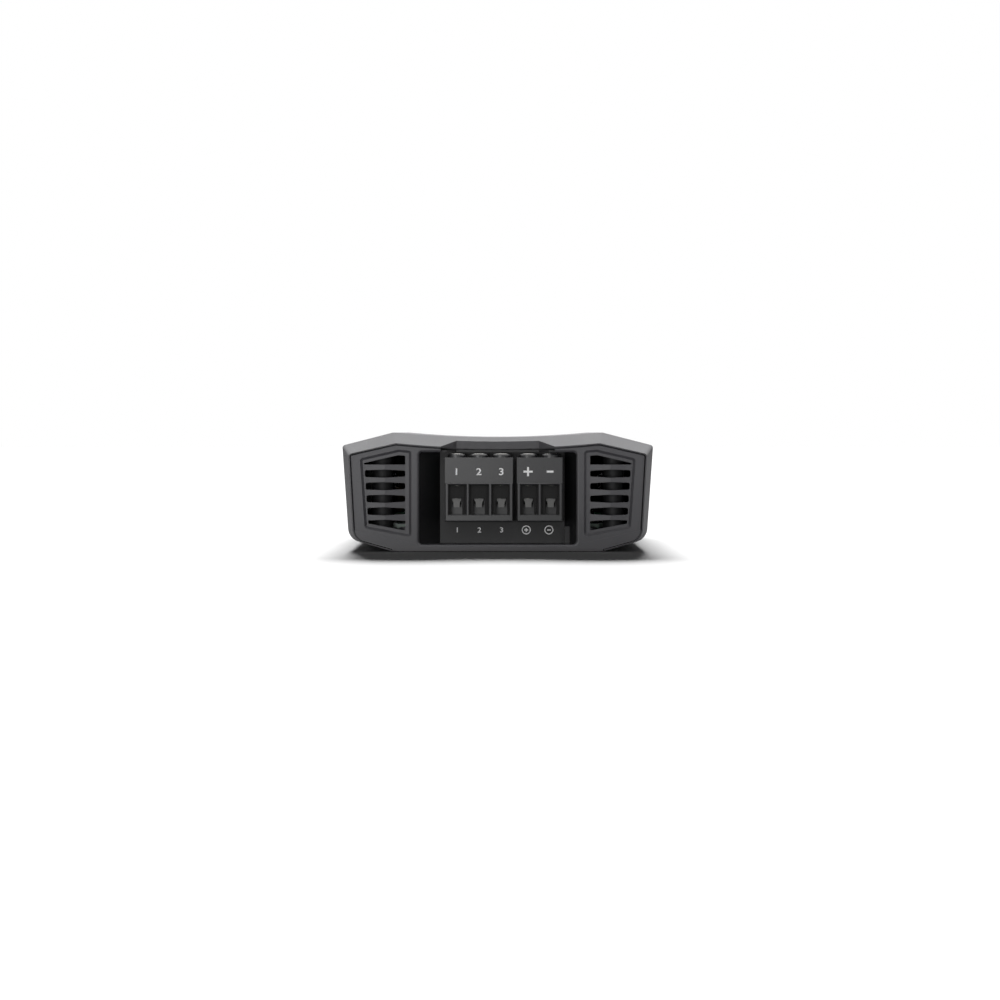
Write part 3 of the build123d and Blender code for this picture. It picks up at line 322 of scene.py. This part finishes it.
# %% A helper for wires
def wire_mesh(name, path, radius, closed=False, sides=8, reference=(0, 0, 1)):
    """A round wire through the points of a path."""
    shape = bmesh.new()
    rings = []
    count = len(path)
    for k, point in enumerate(path):
        before = path[k - 1] if closed or k else path[k]
        after = path[(k + 1) % count] if closed or k < count - 1 else path[k]
        along = (after - before).normalized()
        side = along.cross(Vector(reference)).normalized()
        up = side.cross(along)
        rings.append([shape.verts.new(point + radius * (
            side * math.cos(math.tau * s / sides) + up * math.sin(math.tau * s / sides)))
            for s in range(sides)])
    for k in range(count if closed else count - 1):
        here, there = rings[k], rings[(k + 1) % count]
        for s in range(sides):
            shape.faces.new((here[s - 1], here[s], there[s], there[s - 1]))
    if not closed:
        shape.faces.new(rings[0])
        shape.faces.new(rings[-1][::-1])
    bmesh.ops.recalc_face_normals(shape, faces=shape.faces)
    for face in shape.faces:
        face.smooth = True
    mesh = bpy.data.meshes.new(name)
    shape.to_mesh(mesh)
    shape.free()
    return mesh


# %% [markdown]
# The two toroids and the rod choke are wound with enamelled wire. The frame has a plain closed solid
# for each winding, and a real turn-by-turn wire stands in for it here, inside the same outline.

# %% Wound coils
CORE_BORES = {"input_choke": 6.0 * MM, "transformer": 8.0 * MM}
CORE_ROUNDING = 0.8          # 0 would wind along an ellipse, 1 along a sharp rectangle
ring_wire, ring_turns = 0.55 * MM, {"input_choke": 22, "transformer": 30}
rod_wire, rod_steps = 0.65 * MM, 32


def toroid_path(name, radius, turns, steps=20):
    """A path that winds round a flat ring core and returns to its start."""
    low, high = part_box(f"{name}_core")
    outer_low, outer_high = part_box(f"{name}_winding")
    middle = (low + high) / 2
    outer = (high.x - low.x) / 2 + radius
    inner_wall = (outer_high.x - outer_low.x) / 2 - (high.x - low.x) / 2
    inner = CORE_BORES[name] - min(radius, inner_wall)
    half = (high.z - low.z) / 2 + radius
    path = []
    for k in range(turns * steps):
        round_core = math.tau * k / steps
        round_ring = math.tau * k / (turns * steps)
        # a rounded rectangle round the core's section
        across, rise = math.cos(round_core), math.sin(round_core)
        stretch = 1 / max(abs(across), abs(rise)) ** CORE_ROUNDING
        reach = (outer + inner) / 2 + (outer - inner) / 2 * max(-1, min(1, across * stretch))
        path.append(middle + Vector((reach * math.cos(round_ring), reach * math.sin(round_ring),
                                     half * max(-1, min(1, rise * stretch)))))
    return path


for name, turns in ring_turns.items():
    mesh = wire_mesh(f"{name}_wire", toroid_path(name, ring_wire, turns), ring_wire, closed=True)
    coil = add_piece(f"{name}_wire", mesh, "chassis", "copper_wire")
    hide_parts(f"{name}_winding")
    print(name, "turns:", turns)

low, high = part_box("output_choke_winding")
middle = (low + high) / 2
turns = int((high.z - low.z) / (2 * rod_wire)) - 1
reach = (high.x - low.x) / 2 - rod_wire
climb = (high.z - low.z - 2 * rod_wire) / (rod_steps * turns)
path = [Vector((middle.x + reach * math.cos(math.tau * k / rod_steps),
                middle.y + reach * math.sin(math.tau * k / rod_steps), low.z + rod_wire + climb * k))
        for k in range(rod_steps * turns + 1)]
mesh = wire_mesh("output_choke_wire", path, rod_wire)
coil = add_piece("output_choke_wire", mesh, "chassis", "copper_wire")
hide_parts("output_choke_winding")

# %% [markdown]
# The modular socket has a row of sprung gold wires. Each comes in at the back, runs forward along
# the roof and bends down to meet the plug.

# %% Contacts in the modular socket
low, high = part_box("remote_jack")
middle_x = (low.x + high.x) / 2
contact_count, contact_pitch, contact_radius = 6, 1.02 * MM, 0.17 * MM
for k in range(contact_count):
    x = middle_x + (k - (contact_count - 1) / 2) * contact_pitch
    corners = [(low.y + 1.5 * MM, low.z + 9.2 * MM), (high.y - 3.0 * MM, low.z + 9.2 * MM),
               (high.y - 2.2 * MM, low.z + 8.9 * MM), (high.y - 4.5 * MM, low.z + 7.2 * MM),
               (low.y + 4.0 * MM, low.z + 5.4 * MM)]
    path = [Vector((x, y, z)) for y, z in corners]
    mesh = wire_mesh(f"socket_contact_{k + 1}", path, contact_radius, reference=(1, 0, 0))
    add_piece(f"socket_contact_{k + 1}", mesh, "chassis", "pin_metal")

# %% [markdown]
# The amplifier stands on a plain white floor. One broad light from above and behind whitens the
# floor evenly and leaves a soft dark shadow in front of the case. It is a sun lamp, so its light
# doesn't fade with distance, and its wide angle softens the edge of the shadow. Low softboxes light
# the front. Those softboxes leave the floor out, which keeps
# the shadow deep. The room is white to the camera and dim to everything else.

# %% Floor and light
FLOOR_SEEN, FLOOR_REFLECTED = 0.82, 0.30
DIM_ROOM, PALE_SKY, SKY_TOP = 0.045, 2.0, 0.45


def add_floor(radius=6.0):
    """A round white floor."""
    shape = bmesh.new()
    bmesh.ops.create_circle(shape, cap_ends=True, radius=radius, segments=96)
    mesh = bpy.data.meshes.new("floor")
    shape.to_mesh(mesh)
    shape.free()
    floor = bpy.data.objects.new("floor", mesh)
    bpy.context.scene.collection.objects.link(floor)
    paint = bpy.data.materials.new("floor_paint")
    paint.use_nodes = True
    tree = paint.node_tree
    shader = tree.nodes["Principled BSDF"]
    shader.inputs["Roughness"].default_value = 0.9
    shader.inputs["Specular IOR Level"].default_value = 0.0
    # reflections see a greyer floor, so that the satin sides of the case keep their depth
    ray = tree.nodes.new("ShaderNodeLightPath")
    shade = tree.nodes.new("ShaderNodeMapRange")
    shade.inputs["To Min"].default_value = FLOOR_SEEN
    shade.inputs["To Max"].default_value = FLOOR_REFLECTED
    tree.links.new(ray.outputs["Is Glossy Ray"], shade.inputs["Value"])
    tree.links.new(shade.outputs["Result"], shader.inputs["Base Color"])
    mesh.materials.append(paint)
    return floor


def aim_lamp(name, light, place, aim):
    """Puts a lamp in the scene and turns it to look at a point."""
    lamp = bpy.data.objects.new(name, light)
    bpy.context.scene.collection.objects.link(lamp)
    lamp.location = place
    lamp.rotation_mode = "QUATERNION"
    lamp.rotation_quaternion = (Vector(aim) - Vector(place)).to_track_quat("-Z", "Y")
    return lamp


def add_softbox(name, place, aim, width, height, power):
    """A rectangular area light that leaves the floor out."""
    light = bpy.data.lights.new(name, "AREA")
    light.shape = "RECTANGLE"
    light.size = width
    light.size_y = height
    light.energy = power
    lamp = aim_lamp(name, light, place, aim)
    lamp.light_linking.receiver_collection = floor_only


floor_only = bpy.data.collections.new("floor_only")
floor_only.objects.link(add_floor())
floor_only.collection_objects[0].light_linking.link_state = "EXCLUDE"
target = (cad_box[0] + cad_box[1]) / 2
front_aim = (0, -0.09, 0.025)
overhead = bpy.data.lights.new("overhead_light", "SUN")
overhead.energy = 10.8
overhead.angle = math.radians(18)
back_lamp = aim_lamp("overhead_light", overhead, target + Vector((-0.02, 1.0, 0.46)), target)
back_lamp.visible_glossy = False
add_softbox("left_light", (-0.13, -0.50, 0.025), front_aim, 0.24, 0.04, 0.42)
add_softbox("right_light", (0.40, -0.90, 0.04), front_aim, 0.40, 0.06, 0.38)
print("lights:", len(bpy.data.lights))

room = bpy.data.worlds.new("white_room")
room.use_nodes = True
room_nodes = room.node_tree.nodes
room_nodes["Background"].inputs["Color"].default_value = (1, 1, 1, 1)
ray = room_nodes.new("ShaderNodeLightPath")
place = room_nodes.new("ShaderNodeTexCoord")
axes = room_nodes.new("ShaderNodeSeparateXYZ")
# reflections see a sky that is pale above and dim low down
sky = room_nodes.new("ShaderNodeMapRange")
sky.inputs["From Min"].default_value = 0.0
sky.inputs["From Max"].default_value = SKY_TOP
sky.inputs["To Min"].default_value = DIM_ROOM
sky.inputs["To Max"].default_value = PALE_SKY
seen = room_nodes.new("ShaderNodeMix")
seen.inputs["A"].default_value = DIM_ROOM
shown = room_nodes.new("ShaderNodeMix")
shown.inputs["B"].default_value = 1.0
links = room.node_tree.links
links.new(place.outputs["Generated"], axes.inputs["Vector"])
links.new(axes.outputs["Z"], sky.inputs["Value"])
links.new(ray.outputs["Is Glossy Ray"], seen.inputs["Factor"])
links.new(sky.outputs["Result"], seen.inputs["B"])
links.new(seen.outputs["Result"], shown.inputs["A"])
links.new(ray.outputs["Is Camera Ray"], shown.inputs["Factor"])
links.new(shown.outputs["Result"], room_nodes["Background"].inputs["Strength"])
bpy.context.scene.world = room

# %% [markdown]
# The view is straight at the plug end with a long lens, from the height of the top of the case.

# %% Camera
scene = bpy.context.scene
scene.view_settings.view_transform = "Standard"
rim_y = cad_box[0].y
view_width = 0.339
camera_distance = 0.90
camera_x, camera_z, aim_z = 0.78 * MM, 40.5 * MM, 17.6 * MM
camera = bpy.data.cameras.new("camera")
camera.sensor_width = 36.0
camera.lens = camera.sensor_width * camera_distance / view_width
viewer = bpy.data.objects.new("camera", camera)
scene.collection.objects.link(viewer)
viewer.location = (camera_x, rim_y - camera_distance, camera_z)
aim_point = Vector((camera_x, rim_y, aim_z))
viewer.rotation_mode = "QUATERNION"
viewer.rotation_quaternion = (aim_point - viewer.location).to_track_quat("-Z", "Y")
scene.camera = viewer
print("lens:", round(camera.lens, 1), "mm")
